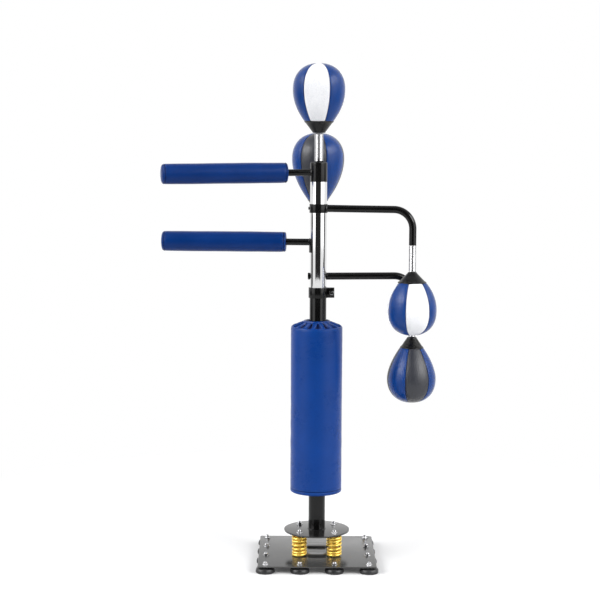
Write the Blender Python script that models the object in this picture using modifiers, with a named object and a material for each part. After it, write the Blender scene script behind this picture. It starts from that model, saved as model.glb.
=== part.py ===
"""Free-standing boxing machine: a sprung base, a padded pole, and a turning head
with two padded bars and four strike balls on coil springs.

Metres, +Z up. The floor is z = 0. Every piece is placed from the pole's vertical axis,
which the empty machine_axis carries; the origin is the middle of the machine's footprint box.
"""

import math

import bmesh
import bpy
from mathutils import Vector

# ---- fits ----
GAP = 0.0003                # between pieces that are seated on each other
RUN = 0.0005                # between pieces that slide or turn on each other

# ---- base plate, suction cups and nuts ----
PLATE_SIDE = 0.468
PLATE_THICKNESS = 0.005
PLATE_CORNER = 0.010
CUP_HEIGHT = 0.0255         # floor to the underside of the plate
CUP_RADIUS = 0.0375
CUP_RIM = 0.005
CUP_NECK_RADIUS = 0.013
CUP_INSET = 0.02975         # plate side to the middle of an outer cup
CUPS_PER_SIDE = 4
CUP_PITCH = (PLATE_SIDE - 2 * CUP_INSET) / (CUPS_PER_SIDE - 1)
STUD_RADIUS = 0.004
STUD_REACH = 0.008          # above the plate
NUT_RADIUS = 0.0105
NUT_HEIGHT = 0.013
WASHER_RADIUS = 0.0125
WASHER_THICKNESS = 0.0015

# ---- base springs between the seats and the top disc ----
SPRING_PITCH = 0.140        # spacing of the two by two pattern
SPRING_RADIUS = 0.0305      # outside
SPRING_WIRE = 0.010
SPRING_TURNS = 6
SPRING_LENGTH = 0.0833
SEAT_THICKNESS = 0.0030
SEAT_RADIUS = SPRING_RADIUS - 0.0005
SEAT_BAR_WIDTH = 2 * SEAT_RADIUS - 0.008
PLUG_RADIUS = SPRING_RADIUS - SPRING_WIRE - 0.0025
PLUG_HEIGHT = 0.008
DISC_RADIUS = SPRING_PITCH / math.sqrt(2) + SPRING_RADIUS + 0.0025
DISC_THICKNESS = 0.006
DISC_BOLT_RADIUS = 0.005

# ---- pole, clamp, mast and bag ----
POLE_RADIUS = 0.0335
POLE_WALL = 0.0035
POLE_TOP = 1.1075
CLAMP_HEIGHT = 0.041
CLAMP_WALL = 0.0042
CLAMP_EAR_REACH = POLE_RADIUS + 0.0315
CLAMP_EAR_THICKNESS = 0.008
CLAMP_SLIT = 0.003
CLAMP_BOLT_RADIUS = 0.004
CLAMP_BOLT_HEAD = 0.0072
CLAMP_BOLT_HEAD_LENGTH = 0.008
MAST_WALL = 0.003
MAST_BOTTOM = POLE_TOP - 0.542
BAG_RADIUS = 0.1035
BAG_BOTTOM = 0.2805
BAG_SHOULDER = 0.9525       # top of the straight side
BAG_TOP = 0.9705
BAG_NECK_RADIUS = 0.054
BAG_EDGE = 0.007

# ---- turning head ----
SLEEVE_TOP = POLE_TOP + 0.421
HUB_RADIUS = POLE_RADIUS + 0.0005
HUB_TOP = SLEEVE_TOP + 0.078
HUB_EDGE = 0.006
HUB_PLUG_DEPTH = 0.043
ROD_RADIUS = 0.0135
ROD_WALL = 0.002
ROD_SOCKET = 0.022          # how far the upper rod goes into the hub
PAD_RADIUS = 0.0405
PAD_START = 0.128
BAR_REACH = 0.627           # pole axis to the end of a padded bar
PAD_END_THICKNESS = 0.025
PAD_EDGE = 0.010
UPPER_BAR_Z = SLEEVE_TOP + 0.037
UPPER_BAR_TURN = 192.0      # degrees about +Z from +X
UPPER_BAR_DROOP = 0.6       # degrees below level
LOWER_BAR_Z = POLE_TOP + 0.1813
LOWER_BAR_TURN = 177.0
SADDLE_BOTTOM = POLE_TOP + 0.140
SADDLE_TOP = POLE_TOP + 0.195
SADDLE_THICKNESS = 0.0035
SADDLE_FROM = 60.0          # degrees about +Z from +X
SADDLE_TO = 222.0
TUBE_RADIUS = 0.0145
TUBE_WALL = 0.0022
ARM_BEND = 0.075
UPPER_ARM_REACH = 0.380
UPPER_ARM_TURN = -14.0      # degrees about +Z from +X
UPPER_ARM_Z = POLE_TOP + 0.3157
UPPER_ARM_END = UPPER_ARM_Z - 0.1397
LOWER_ARM_REACH = 0.382
LOWER_ARM_TURN = 6.0
LOWER_ARM_Z = POLE_TOP + 0.045
LOWER_ARM_END = LOWER_ARM_Z - 0.144
BAND_HEIGHT = 0.035
BAND_THICKNESS = 0.0022
BAND_SCREW_RADIUS = 0.003
BAND_SCREW_HEAD = 0.0055
BAND_SCREW_HEAD_LENGTH = 0.004
REAR_REACH = 0.230
REAR_ARM_Z = POLE_TOP + 0.163
REAR_BEND = 0.040
REAR_ARM_END = REAR_ARM_Z + 0.043

# ---- balls and their springs ----
TOP_BALL = 0.104            # radius of each ball
REAR_BALL = 0.107
UPPER_BALL = 0.097
LOWER_BALL = 0.098
TOP_BALL_TALL = 2.63        # these proportions are shares of the ball's radius
REAR_BALL_TALL = 2.79
UPPER_BALL_TALL = 2.59
LOWER_BALL_TALL = 2.72
NECK_HEIGHT = 0.44
NECK_WIDE = 0.512
NECK_NARROW = 0.235
BALL_WALL = 0.008
VALVE_RADIUS = 0.005
BIG_COIL = 0.018            # outer radius of an upright ball's spring
SMALL_COIL = 0.0145
COIL_WALL = 0.004
TOP_COIL_LENGTH = 0.114
SIDE_COIL_LENGTH = 0.104
REAR_COIL_LENGTH = 0.110

# ---- facets ----
ROUND = 24                  # sides of the large turned pieces
SMALL_ROUND = 16
CUP_SIDES = 12
BOLT_SIDES = 8
HEX = 6

# ---- heights and places that follow ----
PLATE_TOP = CUP_HEIGHT + PLATE_THICKNESS
SEAT_TOP = PLATE_TOP + GAP + SEAT_THICKNESS
SPRING_FOOT = SEAT_TOP + GAP
DISC_BOTTOM = SPRING_FOOT + SPRING_LENGTH + GAP
DISC_TOP = DISC_BOTTOM + DISC_THICKNESS
MAST_RADIUS = POLE_RADIUS - POLE_WALL - RUN
SLEEVE_BOTTOM = POLE_TOP + RUN
MAST_TOP = SLEEVE_TOP - HUB_PLUG_DEPTH
AXIS_X = (BAR_REACH - LOWER_ARM_REACH * math.cos(math.radians(LOWER_ARM_TURN)) - LOWER_BALL) / 2
AXIS_Y = (PLATE_SIDE / 2 - CUP_INSET + CUP_RADIUS - REAR_REACH - REAR_BALL) / 2


def clear_scene():
    for item in list(bpy.data.objects):
        bpy.data.objects.remove(item, do_unlink=True)


clear_scene()
PARTS = bpy.data.collections.new("boxing_machine")
CUTTERS = bpy.data.collections.new("cutters")
for collection in (PARTS, CUTTERS):
    bpy.context.scene.collection.children.link(collection)


# ---- materials ----
def material(name, colour, roughness, metallic):
    made = bpy.data.materials.new(name)
    made.use_nodes = True
    shader = made.node_tree.nodes["Principled BSDF"]
    shader.inputs["Base Color"].default_value = (*colour, 1.0)
    shader.inputs["Roughness"].default_value = roughness
    shader.inputs["Metallic"].default_value = metallic
    made.diffuse_color = (*colour, 1.0)
    return made


BLACK_PAINT = material("black_paint", (0.012, 0.012, 0.014), 0.30, 0.0)
CHROME = material("chrome", (0.78, 0.79, 0.80), 0.10, 1.0)
BRIGHT_STEEL = material("bright_steel", (0.62, 0.62, 0.63), 0.22, 1.0)
GOLD_PAINT = material("gold_paint", (0.83, 0.56, 0.10), 0.30, 0.6)
BLUE_VINYL = material("blue_vinyl", (0.012, 0.055, 0.28), 0.42, 0.0)
BLUE_AND_WHITE = material("blue_and_white_leather", (0.30, 0.36, 0.55), 0.40, 0.0)
BLUE_AND_BLACK = material("blue_and_black_leather", (0.020, 0.040, 0.15), 0.40, 0.0)
RUBBER = material("black_rubber", (0.015, 0.015, 0.016), 0.70, 0.0)


# ---- placing ----
AXIS_OF = {}


def pivot(name, parent, at):
    """An empty on a joint's axis; at is measured from the pole's axis at the floor."""
    empty = bpy.data.objects.new(name, None)
    empty.empty_display_size = 0.05
    PARTS.objects.link(empty)
    AXIS_OF[name] = (empty, Vector(at))
    seat(empty, parent, at)
    return name


def seat(item, parent, at, turn=(0, 0, 0)):
    """Hang item on a pivot, at a place measured from the pole's axis at the floor."""
    if parent:
        item.parent, origin = AXIS_OF[parent]
        item.location = Vector(at) - origin
    else:
        item.location = (AXIS_X, AXIS_Y, 0)
    item.rotation_euler = [math.radians(angle) for angle in turn]


def part(name, mesh, coat, parent, at=(0, 0, 0), turn=(0, 0, 0)):
    item = bpy.data.objects.new(name, mesh)
    if not mesh.materials:
        mesh.materials.append(coat)
    PARTS.objects.link(item)
    seat(item, parent, at, turn)
    return item


def cutter(name, mesh, parent, at=(0, 0, 0), turn=(0, 0, 0)):
    item = bpy.data.objects.new(name, mesh)
    item.hide_render = True
    item.display_type = "WIRE"
    CUTTERS.objects.link(item)
    seat(item, parent, at, turn)
    return item


def combine(item, other, operation):
    step = item.modifiers.new(operation.lower(), "BOOLEAN")
    step.operation = operation
    step.solver = "EXACT"
    step.object = other


# ---- shapes ----
def finished(item, smooth=True):
    """The evaluated mesh of a helper object, which is then removed."""
    bpy.context.view_layer.update()
    graph = bpy.context.evaluated_depsgraph_get()
    mesh = bpy.data.meshes.new_from_object(item.evaluated_get(graph))
    weld = bmesh.new()
    weld.from_mesh(mesh)
    bmesh.ops.remove_doubles(weld, verts=weld.verts, dist=0.00001)
    weld.to_mesh(mesh)
    weld.free()
    bpy.data.objects.remove(item, do_unlink=True)
    if smooth:
        mesh.shade_smooth()
        mesh.set_sharp_from_angle(angle=math.radians(35))
    return mesh


def turned(name, profile, sides, ring=False):
    """Turn (radius, height) points, outer side from top to bottom, about +Z."""
    mesh = bpy.data.meshes.new(name)
    edges = [(i, i + 1) for i in range(len(profile) - 1)]
    if ring:
        edges.append((len(profile) - 1, 0))
    mesh.from_pydata([(radius, 0, height) for radius, height in profile], edges, [])
    item = bpy.data.objects.new(name, mesh)
    PARTS.objects.link(item)
    screw = item.modifiers.new("turn", "SCREW")
    screw.axis = "Z"
    screw.steps = sides
    screw.render_steps = sides
    screw.use_merge_vertices = True
    screw.merge_threshold = 0.00001
    made = finished(item)
    made.name = name
    return made


def rod_mesh(name, radius, low, high, sides):
    return turned(name, [(0, high), (radius, high), (radius, low), (0, low)], sides)


def tube_mesh(name, outer, inner, low, high, sides):
    corners = [(inner, high), (outer, high), (outer, low), (inner, low)]
    return turned(name, corners, sides, ring=True)


def box_mesh(name, size, centre=(0, 0, 0)):
    shape = bmesh.new()
    bmesh.ops.create_cube(shape, size=1.0)
    bmesh.ops.scale(shape, vec=size, verts=shape.verts)
    bmesh.ops.translate(shape, vec=centre, verts=shape.verts)
    mesh = bpy.data.meshes.new(name)
    shape.to_mesh(mesh)
    shape.free()
    return mesh


def plate_mesh(name, outline, thickness):
    """A flat closed outline, extruded by half its thickness each way."""
    curve = bpy.data.curves.new(name, "CURVE")
    curve.dimensions = "2D"
    curve.fill_mode = "BOTH"
    curve.extrude = thickness / 2
    line = curve.splines.new("POLY")
    line.points.add(len(outline) - 1)
    for point, (x, y) in zip(line.points, outline):
        point.co = (x, y, 0, 1)
    line.use_cyclic_u = True
    item = bpy.data.objects.new(name, curve)
    PARTS.objects.link(item)
    return finished(item, smooth=False)


def bent_mesh(name, points, radius, caps, resolution):
    """A round bar along a list of points, open at both ends unless caps is set."""
    curve = bpy.data.curves.new(name, "CURVE")
    curve.dimensions = "3D"
    curve.bevel_depth = radius
    curve.bevel_resolution = resolution
    curve.use_fill_caps = caps
    line = curve.splines.new("POLY")
    line.points.add(len(points) - 1)
    for point, place in zip(line.points, points):
        point.co = (*place, 1)
    item = bpy.data.objects.new(name, curve)
    PARTS.objects.link(item)
    return finished(item)


def arc(centre, radius, start, stop, count):
    """Points on an arc in a plane, both ends included; angles in degrees."""
    for i in range(count):
        angle = math.radians(start + (stop - start) * i / (count - 1))
        yield centre[0] + radius * math.cos(angle), centre[1] + radius * math.sin(angle)


# ---- pivots, one for each joint ----
pivot("machine_axis", None, (0, 0, 0))
TILT_X_Z = SPRING_FOOT + SPRING_LENGTH * 0.25
TILT_Y_Z = SPRING_FOOT + SPRING_LENGTH * 0.75
pivot("tilt_forward_axis", "machine_axis", (0, 0, TILT_X_Z))
pivot("tilt_sideways_axis", "tilt_forward_axis", (0, 0, TILT_Y_Z))
pivot("mast_axis", "tilt_sideways_axis", (0, 0, POLE_TOP))
pivot("head_axis", "mast_axis", (0, 0, MAST_TOP))
pivot("upper_arm_axis", "head_axis", (0, 0, UPPER_ARM_Z))


# ---- base plate with its cups and nuts ----
def cup_places():
    """Round the edge of a square grid."""
    half = (CUPS_PER_SIDE - 1) * CUP_PITCH / 2
    for row in range(CUPS_PER_SIDE):
        for column in range(CUPS_PER_SIDE):
            if row in (0, CUPS_PER_SIDE - 1) or column in (0, CUPS_PER_SIDE - 1):
                yield column * CUP_PITCH - half, row * CUP_PITCH - half


def spring_places():
    half = SPRING_PITCH / 2
    for front, y in (("front", -half), ("rear", half)):
        for side, x in (("left", -half), ("right", half)):
            yield f"{front}_{side}", x, y


def base_plate():
    inset = PLATE_SIDE / 2 - PLATE_CORNER
    outline = []
    for quarter, (sx, sy) in enumerate(((1, 1), (-1, 1), (-1, -1), (1, -1))):
        centre = (sx * inset, sy * inset)
        outline += arc(centre, PLATE_CORNER, 90 * quarter, 90 * quarter + 90, 4)
    mesh = plate_mesh("base_plate", outline, PLATE_THICKNESS)
    middle = CUP_HEIGHT + PLATE_THICKNESS / 2
    plate = part("base_plate", mesh, BLACK_PAINT, "machine_axis", (0, 0, middle))
    hole = rod_mesh("stud_hole", STUD_RADIUS + RUN, -PLATE_THICKNESS, PLATE_THICKNESS, BOLT_SIDES)
    for number, (x, y) in enumerate(cup_places(), 1):
        combine(plate, cutter(f"stud_hole_{number:02d}", hole, "machine_axis", (x, y, middle)),
                "DIFFERENCE")


def cups_and_nuts():
    under = CUP_HEIGHT - GAP
    cup = turned("suction_cup", [
        (0, PLATE_TOP + STUD_REACH), (STUD_RADIUS, PLATE_TOP + STUD_REACH), (STUD_RADIUS, under),
        (CUP_NECK_RADIUS, under), (CUP_NECK_RADIUS, under * 0.55), (CUP_RADIUS, under * 0.10),
        (CUP_RADIUS, 0), (CUP_RADIUS - CUP_RIM, 0), (0, under * 0.22)], CUP_SIDES)
    seat_z = PLATE_TOP + GAP
    shank = STUD_RADIUS + GAP
    hole_top = PLATE_TOP + STUD_REACH + GAP
    nut = turned("cup_nut", [
        (0, seat_z + NUT_HEIGHT), (NUT_RADIUS * 0.62, seat_z + NUT_HEIGHT * 0.86),
        (NUT_RADIUS, seat_z + NUT_HEIGHT * 0.50), (NUT_RADIUS, seat_z + WASHER_THICKNESS),
        (WASHER_RADIUS, seat_z + WASHER_THICKNESS), (WASHER_RADIUS, seat_z),
        (shank / math.cos(math.pi / HEX), seat_z), (shank / math.cos(math.pi / HEX), hole_top),
        (0, hole_top)], HEX)
    for number, (x, y) in enumerate(cup_places(), 1):
        part(f"suction_cup_{number:02d}", cup, RUBBER, "machine_axis", (x, y, 0))
        part(f"cup_nut_{number:02d}", nut, BRIGHT_STEEL, "machine_axis", (x, y, 0))


def spring_seats():
    """Two flat bars with a round seat at each end and a plug inside each spring."""
    half = SPRING_PITCH / 2
    open_angle = math.degrees(math.asin(SEAT_BAR_WIDTH / 2 / SEAT_RADIUS))
    outline = list(arc((half, 0), SEAT_RADIUS, -180 + open_angle, 180 - open_angle, 19))
    outline += arc((-half, 0), SEAT_RADIUS, open_angle, 360 - open_angle, 19)
    bar = plate_mesh("spring_seat", outline, SEAT_THICKNESS)
    plug = rod_mesh("seat_plug", PLUG_RADIUS, -SEAT_THICKNESS / 4, PLUG_HEIGHT, SMALL_ROUND)
    middle = PLATE_TOP + GAP + SEAT_THICKNESS / 2
    for name, y in (("front", -half), ("rear", half)):
        seat_bar = part(f"spring_seat_{name}", bar, BLACK_PAINT, "machine_axis", (0, y, middle))
        for side, x in (("left", -half), ("right", half)):
            combine(seat_bar, cutter(f"seat_plug_{name}_{side}", plug, "machine_axis",
                                     (x, y, middle)), "UNION")


def base_springs():
    """Open coils whose end turns close up on the seats, all with the same hand."""
    coil = SPRING_RADIUS - SPRING_WIRE / 2
    rise = SPRING_LENGTH - SPRING_WIRE
    count = 10 * SPRING_TURNS
    points = []
    for i in range(count + 1):
        share = i / count
        height = SPRING_WIRE / 2 + rise * (share - 0.045 * math.sin(math.tau * share))
        angle = math.tau * SPRING_TURNS * share
        points.append((coil * math.cos(angle), coil * math.sin(angle), height - SPRING_LENGTH * 0.25))
    mesh = bent_mesh("base_spring", points, SPRING_WIRE / 2, True, 2)
    for name, x, y in spring_places():
        part(f"base_spring_{name}", mesh, GOLD_PAINT, "tilt_forward_axis", (x, y, TILT_X_Z))


def top_disc():
    disc = turned("top_disc", [
        (0, DISC_TOP), (DISC_RADIUS - 0.001, DISC_TOP), (DISC_RADIUS, DISC_TOP - 0.001),
        (DISC_RADIUS, DISC_BOTTOM), (0, DISC_BOTTOM)], 2 * ROUND)
    disc = part("top_disc", disc, BLACK_PAINT, "tilt_sideways_axis")
    hole = rod_mesh("disc_hole", DISC_BOLT_RADIUS + GAP, DISC_BOTTOM - 0.01, DISC_TOP + 0.01, BOLT_SIDES)
    head = DISC_TOP + GAP
    below = DISC_BOTTOM - GAP
    bolt = turned("disc_bolt", [
        (0, head + NUT_HEIGHT), (NUT_RADIUS * 0.62, head + NUT_HEIGHT * 0.86),
        (NUT_RADIUS, head + NUT_HEIGHT * 0.50), (NUT_RADIUS, head + WASHER_THICKNESS),
        (WASHER_RADIUS, head + WASHER_THICKNESS), (WASHER_RADIUS, head), (DISC_BOLT_RADIUS, head),
        (DISC_BOLT_RADIUS, below), (PLUG_RADIUS, below), (PLUG_RADIUS, below - PLUG_HEIGHT),
        (0, below - PLUG_HEIGHT)], BOLT_SIDES)
    for name, x, y in spring_places():
        combine(disc, cutter(f"disc_hole_{name}", hole, "tilt_sideways_axis", (x, y, 0)),
                "DIFFERENCE")
        part(f"disc_bolt_{name}", bolt, BRIGHT_STEEL, "tilt_sideways_axis", (x, y, 0))


# ---- pole, clamp, bag and mast ----
def pole_and_bag():
    tube = tube_mesh("lower_pole", POLE_RADIUS, POLE_RADIUS - POLE_WALL, DISC_TOP + GAP, POLE_TOP, ROUND)
    part("lower_pole", tube, BLACK_PAINT, "tilt_sideways_axis")
    hole = POLE_RADIUS + GAP
    bag = turned("heavy_bag", [
        (hole, BAG_TOP - 0.004), (BAG_NECK_RADIUS, BAG_TOP), (BAG_RADIUS - BAG_EDGE, BAG_SHOULDER),
        (BAG_RADIUS, BAG_SHOULDER - BAG_EDGE), (BAG_RADIUS, BAG_BOTTOM + BAG_EDGE),
        (BAG_RADIUS - BAG_EDGE, BAG_BOTTOM), (hole, BAG_BOTTOM)], ROUND, ring=True)
    part("heavy_bag", bag, BLUE_VINYL, "tilt_sideways_axis")
    mast = tube_mesh("mast", MAST_RADIUS, MAST_RADIUS - MAST_WALL, MAST_BOTTOM, MAST_TOP - GAP, ROUND)
    part("mast", mast, BRIGHT_STEEL, "mast_axis").location = (0, 0, -POLE_TOP)


def pole_clamp():
    """A split ring with two ears and one cross bolt."""
    outer = POLE_RADIUS + GAP + CLAMP_WALL
    low, high = POLE_TOP - CLAMP_HEIGHT, POLE_TOP
    middle = (low + high) / 2
    ears = 2 * CLAMP_EAR_THICKNESS + CLAMP_SLIT
    ring = part("pole_clamp", rod_mesh("pole_clamp", outer, low, high, ROUND), BLACK_PAINT,
                "tilt_sideways_axis")
    ear = box_mesh("clamp_ears", (CLAMP_EAR_REACH - POLE_RADIUS, ears, CLAMP_HEIGHT * 0.98),
                   ((CLAMP_EAR_REACH + POLE_RADIUS) / 2, 0, middle))
    bore = rod_mesh("clamp_bore", POLE_RADIUS + GAP, low - 0.01, high + 0.01, ROUND)
    slit = box_mesh("clamp_slit", (CLAMP_EAR_REACH, CLAMP_SLIT, 2 * CLAMP_HEIGHT),
                    (POLE_RADIUS * 0.5 + CLAMP_EAR_REACH / 2, 0, middle))
    bolt_x = CLAMP_EAR_REACH - 0.011
    hole = rod_mesh("clamp_bolt_hole", CLAMP_BOLT_RADIUS + GAP, -ears, ears, BOLT_SIDES)
    combine(ring, cutter("clamp_ears", ear, "tilt_sideways_axis"), "UNION")
    combine(ring, cutter("clamp_bore", bore, "tilt_sideways_axis"), "DIFFERENCE")
    combine(ring, cutter("clamp_slit", slit, "tilt_sideways_axis"), "DIFFERENCE")
    combine(ring, cutter("clamp_bolt_hole", hole, "tilt_sideways_axis", (bolt_x, 0, middle),
                         (90, 0, 0)), "DIFFERENCE")
    face = ears / 2 + GAP
    tip = face + CLAMP_BOLT_HEAD_LENGTH
    bolt = turned("clamp_bolt", [
        (0, tip), (CLAMP_BOLT_HEAD, tip), (CLAMP_BOLT_HEAD, face), (CLAMP_BOLT_RADIUS, face),
        (CLAMP_BOLT_RADIUS, -face), (CLAMP_BOLT_HEAD, -face),
        (CLAMP_BOLT_HEAD, -face - 0.8 * CLAMP_BOLT_HEAD_LENGTH),
        (0, -face - 0.8 * CLAMP_BOLT_HEAD_LENGTH)], BOLT_SIDES)
    part("clamp_bolt", bolt, BRIGHT_STEEL, "tilt_sideways_axis", (bolt_x, 0, middle), (90, 0, 0))


# ---- turning head ----
def sleeve_and_hub():
    bore = MAST_RADIUS + RUN
    tube = tube_mesh("chrome_sleeve", POLE_RADIUS, bore, SLEEVE_BOTTOM, SLEEVE_TOP, ROUND)
    part("chrome_sleeve", tube, CHROME, "head_axis").location = (0, 0, -MAST_TOP)
    hub = turned("hub", [
        (0, HUB_TOP), (HUB_RADIUS - HUB_EDGE, HUB_TOP),
        (HUB_RADIUS - HUB_EDGE * 0.3, HUB_TOP - HUB_EDGE * 0.3), (HUB_RADIUS, HUB_TOP - HUB_EDGE),
        (HUB_RADIUS, SLEEVE_TOP + GAP), (bore - GAP, SLEEVE_TOP + GAP), (bore - GAP, MAST_TOP),
        (0, MAST_TOP)], ROUND)
    hub = part("hub", hub, BLACK_PAINT, "head_axis")
    hub.location = (0, 0, -MAST_TOP)
    socket = rod_mesh("rod_socket", ROD_RADIUS + GAP, HUB_RADIUS - ROD_SOCKET - GAP, 3 * HUB_RADIUS,
                      SMALL_ROUND)
    combine(hub, cutter("rod_socket", socket, "head_axis", (0, 0, UPPER_BAR_Z),
                        (0, 90 + UPPER_BAR_DROOP, UPPER_BAR_TURN)), "DIFFERENCE")


def padded_bar(name, height, turn, droop, inner_end, rod_end_cut=None):
    """A steel tube rod, and a padded sleeve that is closed at its far end."""
    way = (0, 90 + droop, turn)
    far = BAR_REACH - PAD_END_THICKNESS
    rod = tube_mesh(f"{name}_rod", ROD_RADIUS, ROD_RADIUS - ROD_WALL, inner_end, far, SMALL_ROUND)
    rod = part(f"{name}_rod", rod, BLACK_PAINT, "head_axis", (0, 0, height), way)
    if rod_end_cut:
        combine(rod, rod_end_cut, "DIFFERENCE")
    hole = ROD_RADIUS + GAP
    pad = turned(f"{name}_pad", [
        (0, BAR_REACH), (PAD_RADIUS - PAD_EDGE, BAR_REACH - 0.002),
        (PAD_RADIUS - 0.3 * PAD_EDGE, BAR_REACH - 0.4 * PAD_EDGE),
        (PAD_RADIUS, BAR_REACH - 1.2 * PAD_EDGE), (PAD_RADIUS, PAD_START + PAD_EDGE),
        (PAD_RADIUS - 0.6 * PAD_EDGE, PAD_START), (hole, PAD_START), (hole, far + GAP),
        (0, far + GAP)], SMALL_ROUND)
    part(f"{name}_pad", pad, BLUE_VINYL, "head_axis", (0, 0, height), way)


def saddle():
    """A curved plate on the side of the sleeve; returns the cutter that clears its outside."""
    inner = POLE_RADIUS + GAP
    outer = inner + SADDLE_THICKNESS
    count = 13
    step = (SADDLE_TO - SADDLE_FROM) / (count - 1)
    inner /= math.cos(math.radians(step / 2))
    outline = list(arc((0, 0), outer, SADDLE_FROM, SADDLE_TO, count))
    outline += arc((0, 0), inner, SADDLE_TO, SADDLE_FROM, count)
    mesh = plate_mesh("saddle", outline, SADDLE_TOP - SADDLE_BOTTOM)
    part("saddle", mesh, BLACK_PAINT, "head_axis", (0, 0, (SADDLE_TOP + SADDLE_BOTTOM) / 2))
    clear = rod_mesh("saddle_clearance", outer + GAP, SADDLE_BOTTOM - 0.1, SADDLE_TOP + 0.1, 2 * ROUND)
    item = cutter("saddle_clearance", clear, "head_axis")
    item.location = (0, 0, -MAST_TOP)
    return item


def arm_points(start, reach, bend, rise):
    """In the XZ plane: out along +X, a quarter bend, then up or down by rise in all."""
    way = 1 if rise > 0 else -1
    points = [(start, 0, 0)]
    for x, z in arc((reach - bend, bend * way), bend, -90 * way, 0, 8):
        points.append((x, 0, z))
    points.append((reach, 0, rise))
    return points


def arm_mesh(name, start, reach, bend, rise):
    """A bent steel tube, open at both ends."""
    skin = bent_mesh(name, arm_points(start, reach, bend, rise), TUBE_RADIUS, False, 4)
    item = bpy.data.objects.new(name, skin)
    PARTS.objects.link(item)
    wall = item.modifiers.new("wall", "SOLIDIFY")
    wall.thickness = TUBE_WALL
    wall.offset = -1
    return finished(item)


def arms(saddle_cut):
    start = POLE_RADIUS * 0.5
    sleeve_cut = rod_mesh("sleeve_clearance", POLE_RADIUS + GAP, -0.1, 0.1, 2 * ROUND)
    mesh = arm_mesh("lower_arm", start, LOWER_ARM_REACH, ARM_BEND, LOWER_ARM_END - LOWER_ARM_Z)
    lower = part("lower_arm", mesh, BLACK_PAINT, "head_axis", (0, 0, LOWER_ARM_Z),
                 (0, 0, LOWER_ARM_TURN))
    combine(lower, cutter("sleeve_clearance", sleeve_cut, "head_axis", (0, 0, LOWER_ARM_Z)),
            "DIFFERENCE")
    mesh = arm_mesh("rear_arm", start, REAR_REACH, REAR_BEND, REAR_ARM_END - REAR_ARM_Z)
    rear = part("rear_arm", mesh, BLACK_PAINT, "head_axis", (0, 0, REAR_ARM_Z), (0, 0, 90))
    combine(rear, saddle_cut, "DIFFERENCE")


def upper_arm():
    """A band that can be turned on the sleeve, with the arm welded to it and a set screw."""
    bore = (POLE_RADIUS + GAP) / math.cos(math.pi / ROUND)
    outer = bore + BAND_THICKNESS
    half = BAND_HEIGHT / 2
    at = (0, 0, UPPER_ARM_Z)
    turn = (0, 0, UPPER_ARM_TURN)
    band = part("upper_arm", rod_mesh("upper_arm", outer, -half, half, ROUND), BLACK_PAINT,
                "upper_arm_axis", at, turn)
    tube = arm_mesh("upper_arm_tube", POLE_RADIUS * 0.9, UPPER_ARM_REACH, ARM_BEND,
                    UPPER_ARM_END - UPPER_ARM_Z)
    combine(band, cutter("upper_arm_tube", tube, "upper_arm_axis", at, turn), "UNION")
    hole = rod_mesh("band_bore", bore, -BAND_HEIGHT, BAND_HEIGHT, ROUND)
    combine(band, cutter("band_bore", hole, "upper_arm_axis", at, turn), "DIFFERENCE")
    tap = rod_mesh("band_screw_hole", BAND_SCREW_RADIUS + GAP, POLE_RADIUS * 0.5, 2 * outer, BOLT_SIDES)
    combine(band, cutter("band_screw_hole", tap, "upper_arm_axis", at, (0, 90, 180)), "DIFFERENCE")
    face = outer + GAP
    screw = turned("band_screw", [
        (0, face + BAND_SCREW_HEAD_LENGTH), (BAND_SCREW_HEAD * 0.6, face + BAND_SCREW_HEAD_LENGTH),
        (BAND_SCREW_HEAD, face + BAND_SCREW_HEAD_LENGTH * 0.5), (BAND_SCREW_HEAD, face),
        (BAND_SCREW_RADIUS, face), (BAND_SCREW_RADIUS, bore), (0, bore)], BOLT_SIDES)
    part("band_screw", screw, BRIGHT_STEEL, "upper_arm_axis", at, (0, 90, 180))


# ---- balls ----
def ball_profile(radius, tall, wall):
    """Upright teardrop ball: outer side from the crown down, then the hollow back up."""
    height = tall * radius
    body = tall - NECK_HEIGHT - 1             # from the widest ring to the neck
    crown, lower = 5, 4
    shape = [(0.0, height)]
    for i in range(1, crown + 1):
        angle = math.pi / 2 * i / crown
        shape.append((radius * math.sin(angle) ** 0.95, height - radius * (1 - math.cos(angle))))
    for i in range(1, lower + 1):
        share = i / lower
        width = 1 - (1 - NECK_WIDE) * share ** 1.65
        shape.append((radius * width, height - radius * (1 + body * share)))
    shape.append((radius * NECK_NARROW, 0.0))
    neck = NECK_HEIGHT * radius
    inside = [(VALVE_RADIUS, 0.0), (VALVE_RADIUS, neck), (radius * NECK_WIDE - wall, neck + wall)]
    for i in range(2, 0, -1):
        share = i / 3
        width = 1 - (1 - NECK_WIDE) * share ** 1.65
        inside.append((radius * width - wall, height - radius * (1 + body * share)))
    for i in range(3, 0, -1):
        angle = math.pi / 2 * i / 3
        hollow = radius - wall
        inside.append((hollow * math.sin(angle), height - radius + hollow * math.cos(angle)))
    return shape + inside + [(0.0, height - wall)]


def strike_ball(name, radius, tall, coil, length, parent, foot, hanging, coat):
    """A spring and its ball, standing on foot or hanging from it, with two sway pivots."""
    way = -1 if hanging else 1
    turn = (180, 0, 0) if hanging else (0, 0, 0)
    x, y, z = foot
    first = pivot(f"{name}_sway_x_axis", parent, (x, y, z + way * length * 0.25))
    second = pivot(f"{name}_sway_y_axis", first, (x, y, z + way * length * 0.75))
    spring = tube_mesh(f"{name}_spring", coil, coil - COIL_WALL, GAP, length - GAP, SMALL_ROUND)
    part(f"{name}_spring", spring, CHROME, first, foot, turn)
    ball = turned(f"{name}_ball", ball_profile(radius, tall, BALL_WALL), SMALL_ROUND)
    part(f"{name}_ball", ball, coat, second, (x, y, z + way * length), turn)


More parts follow.
